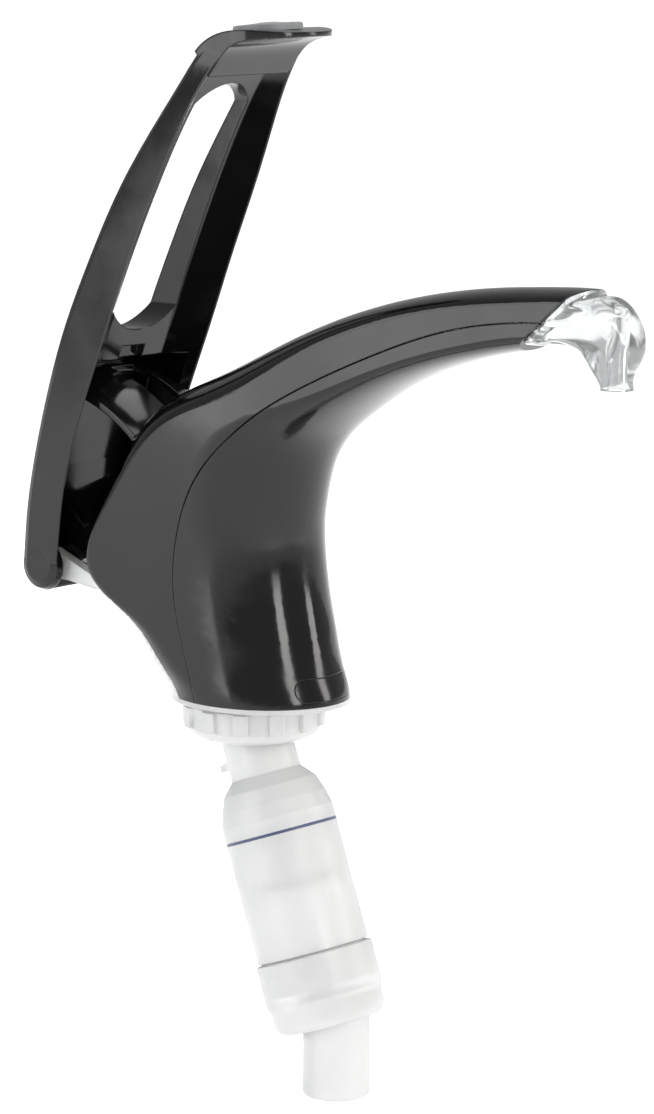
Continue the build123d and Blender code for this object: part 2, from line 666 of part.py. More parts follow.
SLOT_GAP = 0.15
slot_half_l = DRIVE_PIN_D / 2 + PIN_SWING / 2 + SLOT_GAP + 0.1
SLOT_FLOOR = HEAD_HALF - 4.0
with BuildPart() as crosshead:
    with BuildSketch(across(head_top)):
        RectangleRounded(HEAD_W, 2 * HEAD_HALF, 3.0)
        Circle(rod_r, mode=Mode.SUBTRACT)
    extrude(amount=-HEAD_L)
    for side in (1, -1):
        floor_at = at(HEAD_S) + Vector(0, side * SLOT_FLOOR, 0)
        with BuildSketch(Plane(origin=floor_at, x_dir=FORE, z_dir=(0, side, 0))):
            SlotOverall(2 * slot_half_l, DRIVE_PIN_D + 2 * SLOT_GAP)
        extrude(amount=10, mode=Mode.SUBTRACT)
save(crosshead, "crosshead")

# ---------------------------------------------------------------- rod guide and return spring
guide_flange_r = neck_r - 0.3
save(
    turned(
        [
            (rod_r + SHAFT_FIT, GUIDE_TOP), (guide_flange_r, GUIDE_TOP), (guide_flange_r, NECK_TOP),
            (neck_in, NECK_TOP), (neck_in, GUIDE_TOP + GUIDE_L), (rod_r + SHAFT_FIT, GUIDE_TOP + GUIDE_L),
        ]
    ),
    "rod_guide",
)
spring_top = head_low + SPRING_WIRE / 2 + 0.1
spring_low = GUIDE_TOP - SPRING_WIRE / 2 - 0.1
coil_r = (SPRING_D - SPRING_WIRE) / 2
with BuildPart() as return_spring:
    with BuildLine():
        coil = Helix(
            (spring_low - spring_top) / SPRING_TURNS, spring_low - spring_top, coil_r,
            center=at(spring_low), direction=-DOWN,
        )
    with BuildSketch(Plane(origin=coil @ 0, z_dir=coil % 0)):
        Circle(SPRING_WIRE / 2)
    sweep(is_frenet=True)
save(return_spring, "return_spring")

# ---------------------------------------------------------------- discharge tube and nozzle
TUBE_END_S = head_top + STROKE + 24.0  # lower end, well inside the rod with the lever down
TURN_S = head_top - 24.0
TUBE_TIP = Vector(150.5, 0, 166.0)
TUBE_BENDS = (at(TUBE_END_S), at(TURN_S), Vector(56.0, 0, 136.5), Vector(112.0, 0, 161.5), TUBE_TIP)
BEND_R = 18.0
with BuildPart() as discharge_tube:
    with BuildLine() as tube_route:
        FilletPolyline(*TUBE_BENDS, radius=BEND_R)
    with BuildSketch(across(TUBE_END_S)):
        Circle(tube_r)
        Circle(TUBE_BORE / 2, mode=Mode.SUBTRACT)
    sweep(path=tube_route.wires()[0])
save(discharge_tube, "discharge_tube")

tip_run = (TUBE_BENDS[-1] - TUBE_BENDS[-2]).normalized()
tip_up = Vector(0, 1, 0).cross(tip_run) * -1


def on_tip(forward):
    """The plane square to the tube's last run, forward of its end."""
    return Plane(origin=TUBE_TIP + tip_run * forward, x_dir=tip_up, z_dir=tip_run)


SOCKET_L = 12.0
SPIGOT_RING_W = 1.6
SPIGOT_R = tube_r + 2.9
NOZZLE_TOP_SHARE = 0.37
NOZZLE_SECTIONS = (
    ((143.5, 155.0), (169.0, 177.3), NOZZLE_TOP_SHARE, 4.8, 4.8),
    ((160.0, 155.4), (177.0, 175.4), NOZZLE_TOP_SHARE, 5.0, 6.0),
    ((166.5, 154.8), (184.6, 170.6), NOZZLE_TOP_SHARE * 0.97, 5.5, 7.0),
    ((168.6, 152.4), (190.0, 162.4), NOZZLE_TOP_SHARE * 0.88, 6.5, 8.0),
    ((170.4, 148.0), (190.9, 154.6), NOZZLE_TOP_SHARE * 0.7, 7.0, 8.0),
    ((174.0, 140.6), (187.0, 140.6), NOZZLE_D / 2 / BODY_HALF, 6.0, 6.0),
)
OUTLET_X, OUTLET_Z = 180.5, 140.6
BEND_Z = TUBE_TIP.Z + tip_run.Z / tip_run.X * (OUTLET_X - TUBE_TIP.X)
with BuildPart() as nozzle:
    for low, high, share, nose, crown in NOZZLE_SECTIONS:
        front = Vector(low[0], 0, low[1])
        back = Vector(high[0], 0, high[1])
        run = (back - front).normalized()
        length = (back - front).length
        with BuildSketch(Plane(origin=(front + back) / 2, x_dir=run, z_dir=run.cross(Vector(0, 1, 0)))):
            with BuildLine():
                half = BODY_HALF * share
                EllipticalCenterArc((nose - length / 2, 0), nose, half, 90, arc_size=180)
                Line((nose - length / 2, -half), (length / 2 - crown, -half))
                EllipticalCenterArc((length / 2 - crown, 0), crown, half, 270, arc_size=180)
                Line((length / 2 - crown, half), (nose - length / 2, half))
            make_face()
    loft()
    # socket that the tube plugs into, reaching back into the spout
    with BuildSketch(on_tip(-SOCKET_L)):
        Circle(SPIGOT_R)
    extrude(amount=SOCKET_L + 6)
    with BuildSketch(on_tip(-SOCKET_L - 1)):
        Circle(tube_r + SHAFT_FIT)
    extrude(amount=SOCKET_L + 1.4, mode=Mode.SUBTRACT)
    with BuildSketch(on_tip(-SOCKET_L + 3.0)):
        Circle(tube_r + SPIGOT_RING_W)
    extrude(amount=2.2, mode=Mode.SUBTRACT)
    with BuildSketch(on_tip(0)):
        Circle(TUBE_BORE / 2)
    extrude(amount=(OUTLET_X - TUBE_TIP.X) / tip_run.X, mode=Mode.SUBTRACT)
    with BuildSketch(Plane.XY.offset(BEND_Z)):
        with Locations((OUTLET_X, 0)):
            Circle(NOZZLE_BORE / 2)
    extrude(amount=-40, mode=Mode.SUBTRACT)
    with Locations((OUTLET_X, 0, BEND_Z)):
        Sphere(TUBE_BORE / 2, mode=Mode.SUBTRACT)
save(nozzle, "nozzle")

with BuildPart() as nozzle_oring:
    with BuildSketch(Plane(origin=TUBE_TIP - tip_run * (SOCKET_L - 4.1), x_dir=tip_up, z_dir=(0, 1, 0))):
        with Locations((tube_r + SPIGOT_RING_W / 2, 0)):
            Circle(SPIGOT_RING_W / 2)
    revolve(axis=Axis(TUBE_TIP, tip_run))
save(nozzle_oring, "nozzle_oring")

# ---------------------------------------------------------------- lever
# Sections square to the lever's length, from the pivot up: back edge, front edge, half width
# and half width of the slot.
LEVER_SECTIONS = (
    ((-101.0, 50.6), (-79.9, 50.6), LEVER_HALF, LEVER_HALF - STRAP_W),
    ((-99.4, 67.0), (-77.6, 68.5), LEVER_HALF, LEVER_HALF - STRAP_W),
    ((-95.6, 88.0), (-73.2, 91.0), LEVER_HALF, LEVER_HALF - STRAP_W),
    ((-87.5, 118.0), (-63.2, 119.0), LEVER_HALF, LEVER_HALF - STRAP_W),
    ((-76.5, 148.5), (-50.6, 148.5), LEVER_HALF, LEVER_HALF - STRAP_W),
    ((-62.5, 177.5), (-38.0, 178.5), LEVER_HALF - 0.4, LEVER_HALF - STRAP_W),
    ((-46.5, 207.0), (-23.8, 209.0), LEVER_HALF - 1.6, LEVER_HALF - STRAP_W - 0.4),
    ((-30.3, 231.6), (-11.8, 234.8), LEVER_HALF - 3.9, LEVER_HALF - STRAP_W - 1.4),
    ((-18.6, 248.5), (-2.8, 251.0), LEVER_HALF - 6.2, LEVER_HALF - STRAP_W - 2.6),
    ((-8.0, 263.6), (4.2, 260.4), LEVER_HALF - 8.0, LEVER_HALF - STRAP_W - 3.6),
)
BACK_ROUND = 4.0
corner = BACK_ROUND * 0.3
dishes = (DISH, DISH, DISH, DISH, DISH, DISH, DISH, DISH - 1.5, DISH - 4.0, 2.0)
with BuildPart() as lever_blank:
    for (low, high, half, slot_half), dish in zip(LEVER_SECTIONS, dishes):
        back = Vector(low[0], 0, low[1])
        front = Vector(high[0], 0, high[1])
        run = (front - back).normalized()
        length = (front - back).length
        with BuildSketch(Plane(origin=back, x_dir=run, z_dir=run.cross(Vector(0, 1, 0)))):
            with BuildLine():
                Polyline(
                    (0, half - BACK_ROUND), (corner, half - corner), (BACK_ROUND, half), (length, half),
                    (length - dish, slot_half), (length - dish, -slot_half), (length, -half),
                    (BACK_ROUND, -half), (corner, corner - half), (0, BACK_ROUND - half), close=True,
                )
            make_face()
    loft()

FOOT_R = 10.7  # rounded lower end of the lever
HUB_R = PIVOT_D / 2 + 4.0
TIP_X, TIP_R = 10.0, 24.2
TONGUE = ((-9.0, 262.5), (-3.0, 267.2), (4.0, 270.0), (16.0, 271.3), (34.2, 270.4))
TONGUE_UNDER = (
    (34.2, 268.6), (24.0, 268.0), (15.0, 266.6), (8.0, 263.6), (4.3, 260.1), (-2.0, 252.5),
)
SLOT_LOW, SLOT_HIGH = 146.5, 249.0
WEB_Z = 134.5  # lower edge of the web below the slot
SHROUD_R, SHROUD_T, SHROUD_HALF, SHROUD_DROP = 84.4, 2.6, LEVER_HALF - 5.2, 7.6
SHROUD_FROM, SHROUD_TO = 49.0, 83.0  # degrees round the pivot, lever up
TUBE_WAY, TUBE_WAY_TO = TUBE_D / 2 + 2.0, 77.0

with BuildPart() as tongue:
    with BuildSketch(Plane.XZ):
        with BuildLine():
            upper = Spline(*TONGUE)
            lower = Spline(*TONGUE_UNDER)
            Line(upper @ 1, lower @ 0)
            Line(lower @ 1, upper @ 0)
        make_face()
    extrude(amount=TIP_R, both=True)
    with BuildSketch(Plane.XY.offset(200)):
        with Locations((TIP_X, 0)):
            Circle(TIP_R)
        with Locations((TIP_X - 40, 0)):
            Rectangle(80, 2 * TIP_R)
    extrude(amount=100, mode=Mode.INTERSECT)

with BuildPart() as slot_cut:
    with BuildSketch(Plane.YZ.offset(-110)):
        with BuildLine():
            low_half, high_half = LEVER_HALF - STRAP_W, LEVER_HALF - STRAP_W - 3.0
            slot_top = SLOT_HIGH - 8
            low_bend = SLOT_LOW + 9
            ThreePointArc((-low_half, low_bend), (0, SLOT_LOW), (low_half, low_bend))
            Line((low_half, low_bend), (high_half, slot_top))
            ThreePointArc((high_half, slot_top), (0, SLOT_HIGH), (-high_half, slot_top))
            Line((-high_half, slot_top), (-low_half, low_bend))
        make_face()
    extrude(amount=160)

inner_half = LEVER_HALF - LEVER_WALL
channel = slab(
    (
        (-79.0, WEB_Z), (-30, WEB_Z), (-30, 20), (PIVOT_X + 2, 20), (PIVOT_X, PIVOT_Z - 7.6),
        (PIVOT_X - 6.0, PIVOT_Z - 4.6), (PIVOT_X - 7.6, PIVOT_Z), (-98.0, 55.0), (-96.2, 69.0),
        (-92.5, 89.0), (-88.0, 106.0), (-84.2, 119.0),
    ),
    inner_half,
)
ring_plane = Plane(origin=PIVOT, x_dir=(1, 0, 0), z_dir=(0, -1, 0))


def sector(r_in, r_out, start, end, half):
    """Part of a ring round the lever pivot, half wide each side; angles in degrees from +X up."""
    with BuildPart() as ring:
        with BuildSketch(ring_plane):
            with BuildLine():
                outer = CenterArc((0, 0), r_out, start, end - start)
                inner = CenterArc((0, 0), r_in, start, end - start)
                Line(outer @ 0, inner @ 0)
                Line(outer @ 1, inner @ 1)
            make_face()
        extrude(amount=half, both=True)
    return ring


# shroud below the slot, crowned to follow the underside of the housing's top
with BuildPart() as shroud:
    start = radians(SHROUD_FROM)
    spoke = Vector(cos(start), 0, sin(start))
    with BuildSketch(Plane(origin=PIVOT, x_dir=(0, 1, 0), z_dir=Vector(0, 1, 0).cross(spoke))):
        with BuildLine():
            edge_r = SHROUD_R - SHROUD_DROP
            under_r = edge_r - SHROUD_T
            ThreePointArc((-SHROUD_HALF, edge_r), (0, SHROUD_R), (SHROUD_HALF, edge_r))
            Line((SHROUD_HALF, edge_r), (SHROUD_HALF, under_r))
            ThreePointArc((SHROUD_HALF, under_r), (0, SHROUD_R - SHROUD_T), (-SHROUD_HALF, under_r))
            Line((-SHROUD_HALF, under_r), (-SHROUD_HALF, edge_r))
        make_face()
    revolve(axis=Axis(PIVOT, (0, -1, 0)), revolution_arc=SHROUD_TO - SHROUD_FROM)

# the lower end, with the same rounding as the back of the straps
with BuildPart() as foot:
    with BuildSketch(Plane(origin=PIVOT, x_dir=(1, 0, 0), z_dir=(0, 0, 1))):
        with BuildLine():
            Polyline(
                (0, -LEVER_HALF), (FOOT_R - BACK_ROUND, -LEVER_HALF),
                (FOOT_R - corner, corner - LEVER_HALF), (FOOT_R, BACK_ROUND - LEVER_HALF),
                (FOOT_R, LEVER_HALF - BACK_ROUND), (FOOT_R - corner, LEVER_HALF - corner),
                (FOOT_R - BACK_ROUND, LEVER_HALF), (0, LEVER_HALF), close=True,
            )
        make_face()
    revolve(axis=Axis(PIVOT, (0, 1, 0)))
tube_way = sector(SHROUD_R - 12, SHROUD_R + 10, SHROUD_FROM - 8, TUBE_WAY_TO, TUBE_WAY)
boss_l = inner_half - EAR_Y - EAR_T - 0.3
bosses = [
    disc_y(PIVOT_X, PIVOT_Z, 2 * HUB_R, y0, y0 + boss_l)
    for y0 in (EAR_Y + EAR_T + 0.4, -inner_half - 0.1)
]
hubs = []
pin_holes = []
for y in (ARM_Y, -ARM_Y - ARM_T):
    hubs.append(disc_y(PIVOT_X, PIVOT_Z, 2 * HUB_R, y, y + ARM_T))
    hubs.append(disc_y(DRIVE.X, DRIVE.Z, DRIVE_PIN_D + 6.0, y, y + ARM_T))
    pin_holes.append(disc_y(DRIVE.X, DRIVE.Z, DRIVE_PIN_D, y - 1, y + ARM_T + 1))
# the pivot pin goes in from the far side and stops short of the near face
PIN_FROM = -LEVER_HALF + 1.8
pin_holes.append(disc_y(PIVOT_X, PIVOT_Z, PIVOT_D, PIN_FROM, LEVER_HALF + 1))
side = Vector(-sin(REST_ANGLE), cos(REST_ANGLE))
pivot_2d = Vector(PIVOT_X, PIVOT_Z)
drive_2d = Vector(DRIVE.X, DRIVE.Z)

with BuildPart() as lever_handle:
    add(lever_blank.part)
    add(foot.part)
    add(tongue.part)
    add(slot_cut.part, mode=Mode.SUBTRACT)
    add(channel.part, mode=Mode.SUBTRACT)
    add(shroud.part)
    add(tube_way.part, mode=Mode.SUBTRACT)
    for boss in bosses:
        add(boss.part)
    # fork arms that reach the drive pins, each with a brace up to the back wall
    for y in (ARM_Y, -ARM_Y - ARM_T):
        with BuildSketch(Plane.XZ.offset(-y)):
            with BuildLine():
                Polyline(
                    pivot_2d + side * 6.4, drive_2d + side * 5.5, drive_2d - side * 5.5,
                    pivot_2d - side * 4.6, close=True,
                )
            make_face()
            with BuildLine():
                Polyline(
                    (-98.4, 60), (-94.8, 82), (-72.5, 60.5), (-78, 51), (PIVOT_X, PIVOT_Z), (-95, 53),
                    close=True,
                )
            make_face()
        extrude(amount=-ARM_T)
    for hub in hubs:
        add(hub.part)
    for hole in pin_holes:
        add(hole.part, mode=Mode.SUBTRACT)
save(lever_handle, "lever_handle")
save(disc_y(PIVOT_X, PIVOT_Z, PIVOT_D, PIN_FROM, LEVER_HALF - 0.3), "pivot_pin")

pin_near = disc_y(DRIVE.X, DRIVE.Z, DRIVE_PIN_D, -ARM_Y - ARM_T, -SLOT_FLOOR - 0.6)
pin_far = disc_y(DRIVE.X, DRIVE.Z, DRIVE_PIN_D, SLOT_FLOOR + 0.6, ARM_Y + ARM_T)
with BuildPart() as drive_pins:
    add(pin_near.part)
    add(pin_far.part)
save(drive_pins, "drive_pins")

PAD_AT = Vector(8.5, 0, 270.6)
PAD_LEAN = radians(5.0)
pad_up = Vector(-sin(PAD_LEAN), 0, cos(PAD_LEAN))
pad_along = Vector(cos(PAD_LEAN), 0, sin(PAD_LEAN))
with BuildPart() as thumb_pad:
    with BuildSketch(Plane(origin=PAD_AT - pad_up * 1.2, x_dir=pad_along, z_dir=pad_up)):
        Circle(PAD_D / 2)
    extrude(amount=PAD_T + 1.2)
    add(tongue.part, mode=Mode.SUBTRACT)
save(thumb_pad, "thumb_pad")
print("stroke", round(STROKE, 3), "arm", round(ARM, 3), "crosshead at", round(HEAD_S, 2))
print("swept", round(pi * (BORE_D / 2) ** 2 * STROKE / 1000, 2), "ml")
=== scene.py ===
"""Shapes and finishes for a lever-worked condiment pump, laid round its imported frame."""

from math import cos, pi, radians, sin

import bmesh
import bpy
from bpy.props import FloatProperty, FloatVectorProperty, IntProperty, PointerProperty
from mathutils import Matrix, Vector


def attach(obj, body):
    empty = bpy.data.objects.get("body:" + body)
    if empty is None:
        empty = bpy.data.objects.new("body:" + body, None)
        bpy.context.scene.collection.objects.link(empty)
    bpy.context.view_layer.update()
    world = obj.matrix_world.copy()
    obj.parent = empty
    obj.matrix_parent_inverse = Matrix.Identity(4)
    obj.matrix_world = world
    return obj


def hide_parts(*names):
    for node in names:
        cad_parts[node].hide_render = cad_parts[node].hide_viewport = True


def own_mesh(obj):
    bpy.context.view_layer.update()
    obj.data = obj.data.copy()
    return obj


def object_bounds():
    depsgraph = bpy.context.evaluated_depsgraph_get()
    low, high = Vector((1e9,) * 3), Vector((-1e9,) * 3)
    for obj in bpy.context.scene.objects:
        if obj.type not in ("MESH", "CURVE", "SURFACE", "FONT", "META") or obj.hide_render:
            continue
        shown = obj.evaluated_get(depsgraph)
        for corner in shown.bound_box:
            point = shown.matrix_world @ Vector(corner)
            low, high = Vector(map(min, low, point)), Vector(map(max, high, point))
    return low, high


bl_info = {
    "name": "Condiment pump looks",
    "version": (1, 0, 0),
    "blender": (4, 5, 0),
    "location": "3D View > Sidebar > Pump",
    "description": "Finished pieces and materials for a lever-worked condiment pump",
    "category": "Object",
}

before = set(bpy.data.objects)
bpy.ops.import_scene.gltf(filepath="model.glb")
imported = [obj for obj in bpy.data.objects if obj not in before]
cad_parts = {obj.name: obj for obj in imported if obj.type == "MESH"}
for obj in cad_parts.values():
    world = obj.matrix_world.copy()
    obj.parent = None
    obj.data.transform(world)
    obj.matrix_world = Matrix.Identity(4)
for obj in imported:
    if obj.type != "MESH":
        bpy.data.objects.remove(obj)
CAD_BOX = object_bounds()
MM = 0.001

# The leaning axis of the pump: where it crosses the underside of the flange, and its lean.
AXIS_AT = Vector((-4.5, 0, 0)) * MM
LEAN = radians(19.6)
DOWN = Vector((sin(LEAN), 0, -cos(LEAN)))
# The thumb pad, in metres. Its crown rises in a few rings, each a share of what is left inside.
PAD_RADIUS, PAD_HEIGHT, PAD_CROWN = 0.014, 0.0029, 0.0006
PAD_LEAN = radians(5)
PAD_FOOT = Vector((8.55, 0, 270.0)) * MM
PAD_RINGS, PAD_RING_SHARE = 4, 0.3
# The spring, in metres, and how finely round shapes are divided.
SPRING_RADIUS = 0.0115
SPRING_STEPS_A_TURN, SPRING_WIRE_SIDES = 40, 14
ROUND_STEPS = 96
# The bottom cap in mm: distances down the pump axis, and the upright intake tail.
CAP_TOP, CAP_FLOOR, CAP_END = 108.5, 122.3, 138.5
CAP_R, SKIRT_BORE_R, SEAT_R = 24.3, 22.5, 4.0
TAIL_X, TAIL_R, TAIL_BORE_R, TAIL_END = 43.9, 13.7, 10.25, -159.0
# The stage, in metres: the floor lies just under the part, and the camera circles its target.
FLOOR_RADIUS, FLOOR_GAP = 30.0, 0.0005
CAMERA_TARGET = Vector((38.94, 0, 62.12)) * MM
CAMERA_AROUND, CAMERA_ABOVE, CAMERA_DISTANCE, CAMERA_LENS = radians(40), radians(9.5), 1.6, 129.3
LAMP_TARGET = Vector((0.04, 0, 0.08))
# Each lamp: its name, place, width and height, power in watts and tint.
LAMPS = (
    ("key", (2.1, -0.6, 1.0), (0.5, 1.8), 26.0, (1.0, 0.985, 0.97)),
    ("side", (-0.9, -1.9, 0.5), (1.3, 1.5), 22.0, (0.98, 0.985, 1.0)),
    ("top", (0.1, 0.3, 2.1), (1.4, 1.2), 17.0, (1.0, 1.0, 1.0)),
    ("rim", (1.7, 1.3, 0.9), (0.5, 1.6), 18.0, (1.0, 0.96, 0.96)),
)


def spring_ends():
    """How far up the pump axis the spring starts and stops."""
    heights = [-(v.co - AXIS_AT).dot(DOWN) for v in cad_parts["return_spring"].data.vertices]
    return min(heights), max(heights)


# ---------------------------------------------------------------- sizes and colours


class PumpSizes(bpy.types.PropertyGroup):
    shell_round: FloatProperty(
        name="Shell corners", description="Radius of the corners of the housing",
        default=0.0005, unit="LENGTH",
    )
    lever_round: FloatProperty(
        name="Lever corners", description="Radius of the corners of the lever",
        default=0.0011, unit="LENGTH",
    )
    pad_round: FloatProperty(
        name="Pad edge", description="Radius of the upper edge of the thumb pad",
        default=0.0009, unit="LENGTH",
    )
    spring_turns: IntProperty(
        name="Spring turns", description="Turns of the return spring", default=8, min=3,
    )
    spring_wire: FloatProperty(
        name="Spring wire", description="Diameter of the spring's wire", default=0.002,
        unit="LENGTH",
    )


class PumpColours(bpy.types.PropertyGroup):
    shell: FloatVectorProperty(
        name="Shell", description="Gloss plastic of housing and lever", subtype="COLOR", size=3,
        default=(0.0035, 0.0033, 0.0036),
    )
    natural: FloatVectorProperty(
        name="Natural plastic", description="Milky plastic of nut, head, barrel and cap",
        subtype="COLOR", size=3, default=(0.86, 0.865, 0.86),
    )
    pad: FloatVectorProperty(
        name="Thumb pad", description="Soft grey rubber", subtype="COLOR", size=3,
        default=(0.22, 0.23, 0.235),
    )
    seal: FloatVectorProperty(
        name="Barrel seal", description="Blue-grey rubber", subtype="COLOR", size=3,
        default=(0.045, 0.06, 0.13),
    )
    steel: FloatVectorProperty(
        name="Steel", description="Pins, screws, balls and spring", subtype="COLOR", size=3,
        default=(0.6, 0.6, 0.6),
    )
    stage: FloatVectorProperty(
        name="Stage", description="The floor", subtype="COLOR", size=3,
        default=(0.93, 0.93, 0.93),
    )


# ---------------------------------------------------------------- materials


def shader(name, colour, roughness):
    """A new material with its colour and roughness set on the shader."""
    material = bpy.data.materials.new(name)
    material.use_nodes = True
    surface = material.node_tree.nodes["Principled BSDF"]
    surface.inputs["Base Color"].default_value = (*colour, 1)
    surface.inputs["Roughness"].default_value = roughness
    return material, surface


def grain(material, scale, depth):
    """Fine bumps from noise on the object's own coordinates, scale features to the metre."""
    nodes, links = material.node_tree.nodes, material.node_tree.links
    place = nodes.new("ShaderNodeTexCoord")
    noise = nodes.new("ShaderNodeTexNoise")
    bump = nodes.new("ShaderNodeBump")
    noise.inputs["Scale"].default_value = scale
    noise.inputs["Detail"].default_value = 3.0
    bump.inputs["Strength"].default_value = 1.0
    bump.inputs["Distance"].default_value = depth
    links.new(place.outputs["Object"], noise.inputs["Vector"])
    links.new(noise.outputs["Fac"], bump.inputs["Height"])
    links.new(bump.outputs["Normal"], nodes["Principled BSDF"].inputs["Normal"])


def patchy(material, scale, low, high):
    """A roughness that drifts between two values in soft patches, as handling leaves it."""
    nodes, links = material.node_tree.nodes, material.node_tree.links
    place = nodes.new("ShaderNodeTexCoord")
    noise = nodes.new("ShaderNodeTexNoise")
    spread = nodes.new("ShaderNodeMapRange")
    noise.inputs["Scale"].default_value = scale
    noise.inputs["Detail"].default_value = 4.0
    spread.inputs["From Min"].default_value = 0.35
    spread.inputs["From Max"].default_value = 0.65
    spread.inputs["To Min"].default_value = low
    spread.inputs["To Max"].default_value = high
    links.new(place.outputs["Object"], noise.inputs["Vector"])
    links.new(noise.outputs["Fac"], spread.inputs["Value"])
    links.new(spread.outputs["Result"], nodes["Principled BSDF"].inputs["Roughness"])


def tinted(material, scale, light, dark):
    """A base colour that drifts softly between two tones."""
    nodes, links = material.node_tree.nodes, material.node_tree.links
    place = nodes.new("ShaderNodeTexCoord")
    noise = nodes.new("ShaderNodeTexNoise")
    ramp = nodes.new("ShaderNodeValToRGB")
    noise.inputs["Scale"].default_value = scale
    noise.inputs["Detail"].default_value = 3.0
    ramp.color_ramp.elements[0].position = 0.35
    ramp.color_ramp.elements[1].position = 0.65
    ramp.color_ramp.elements[0].color = (*dark, 1)
    ramp.color_ramp.elements[1].color = (*light, 1)
    links.new(place.outputs["Object"], noise.inputs["Vector"])
    links.new(noise.outputs["Fac"], ramp.inputs["Fac"])
    links.new(ramp.outputs["Color"], nodes["Principled BSDF"].inputs["Base Color"])


def dimmed(colour, share):
    """The colour with each channel cut to a share."""
    return tuple(channel * share for channel in colour)


def soft_corners(material, radius):
    """Turns the shading of sharp corners over a small radius, under any bumps."""
    nodes, links = material.node_tree.nodes, material.node_tree.links
    corner = nodes.new("ShaderNodeBevel")
    corner.samples = 6
    corner.inputs["Radius"].default_value = radius
    links.new(corner.outputs["Normal"], nodes["Bump"].inputs["Normal"])


def gloss_plastic(name, colour, radius):
    """Moulded gloss plastic: faint flow in the skin, and a little haze where it is handled."""
    material, surface = shader(name, colour, 0.1)
    surface.inputs["IOR"].default_value = 1.42
    grain(material, 70.0, 0.00004)
    soft_corners(material, radius)
    patchy(material, 45.0, 0.08, 0.16)
    return material


def natural_plastic(colour):
    """Milky polypropylene: light passes, shapes don't."""
    material, surface = shader("natural plastic", colour, 0.4)
    surface.inputs["Transmission Weight"].default_value = 0.55
    surface.inputs["IOR"].default_value = 1.45
    surface.inputs["Subsurface Weight"].default_value = 0.35
    surface.inputs["Subsurface Radius"].default_value = (0.006, 0.006, 0.006)
    grain(material, 900.0, 0.00003)
    patchy(material, 60.0, 0.34, 0.48)
    return material


def clear_plastic():
    """Moulded clear plastic with a faint haze."""
    material, surface = shader("clear plastic", (0.83, 0.85, 0.85), 0.12)
    surface.inputs["Transmission Weight"].default_value = 0.92
    surface.inputs["IOR"].default_value = 1.49
    grain(material, 160.0, 0.00003)
    return material


def soft_rubber(name, colour, roughness=0.55):
    """Matt rubber with a fine skin."""
    material, surface = shader(name, colour, roughness)
    surface.inputs["Sheen Weight"].default_value = 0.2
    grain(material, 2600.0, 0.00006)
    tinted(material, 120.0, colour, dimmed(colour, 0.82))
    return material


def white_plastic():
    """Opaque white plastic of the moving pieces inside."""
    material, surface = shader("white plastic", (0.78, 0.78, 0.76), 0.35)
    surface.inputs["Subsurface Weight"].default_value = 0.15
    surface.inputs["Subsurface Radius"].default_value = (0.002, 0.002, 0.002)
    grain(material, 1400.0, 0.00003)
    return material


def steel(name, colour, roughness):
    """Drawn or turned steel, lightly uneven in its polish."""
    material, surface = shader(name, colour, roughness)
    surface.inputs["Metallic"].default_value = 1.0
    grain(material, 3000.0, 0.00001)
    patchy(material, 400.0, roughness * 0.8, roughness * 1.35)
    return material


# ---------------------------------------------------------------- shaping


def finish_mesh(name, bm, material, sharp=30.0):
    """Turns a bmesh into a smooth-shaded piece at the origin."""
    mesh = bpy.data.meshes.new(name)
    bm.to_mesh(mesh)
    bm.free()
    mesh.shade_smooth()
    mesh.set_sharp_from_angle(angle=radians(sharp))
    piece = bpy.data.objects.new(name, mesh)
    bpy.context.scene.collection.objects.link(piece)
    piece.data.materials.append(material)
    return piece


def stands_for(piece, node, body):
    """A new piece that rides on a body and takes the place of a frame node."""
    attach(piece, body)
    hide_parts(node)


def turned(bm, profile):
    """Spins a line of (radius, height) points round the Z axis and joins the end to the start."""
    points = [bm.verts.new((radius * MM, 0, height * MM)) for radius, height in profile]
    line = [bm.edges.new(pair) for pair in zip(points, points[1:] + points[:1])]
    bmesh.ops.spin(
        bm, geom=points + line, cent=(0, 0, 0), axis=(0, 0, 1), angle=2 * pi, steps=ROUND_STEPS,
        use_merge=True,
    )
    bmesh.ops.remove_doubles(bm, verts=bm.verts, dist=1e-7)
    bmesh.ops.recalc_face_normals(bm, faces=bm.faces)


def on_axis(bm):
    """Leans a shape made round Z onto the pump axis, with its zero at the flange's underside."""
    bmesh.ops.rotate(bm, verts=bm.verts, cent=(0, 0, 0), matrix=Matrix.Rotation(-LEAN, 3, "Y"))
    bmesh.ops.translate(bm, verts=bm.verts, vec=AXIS_AT)


# ---------------------------------------------------------------- pieces


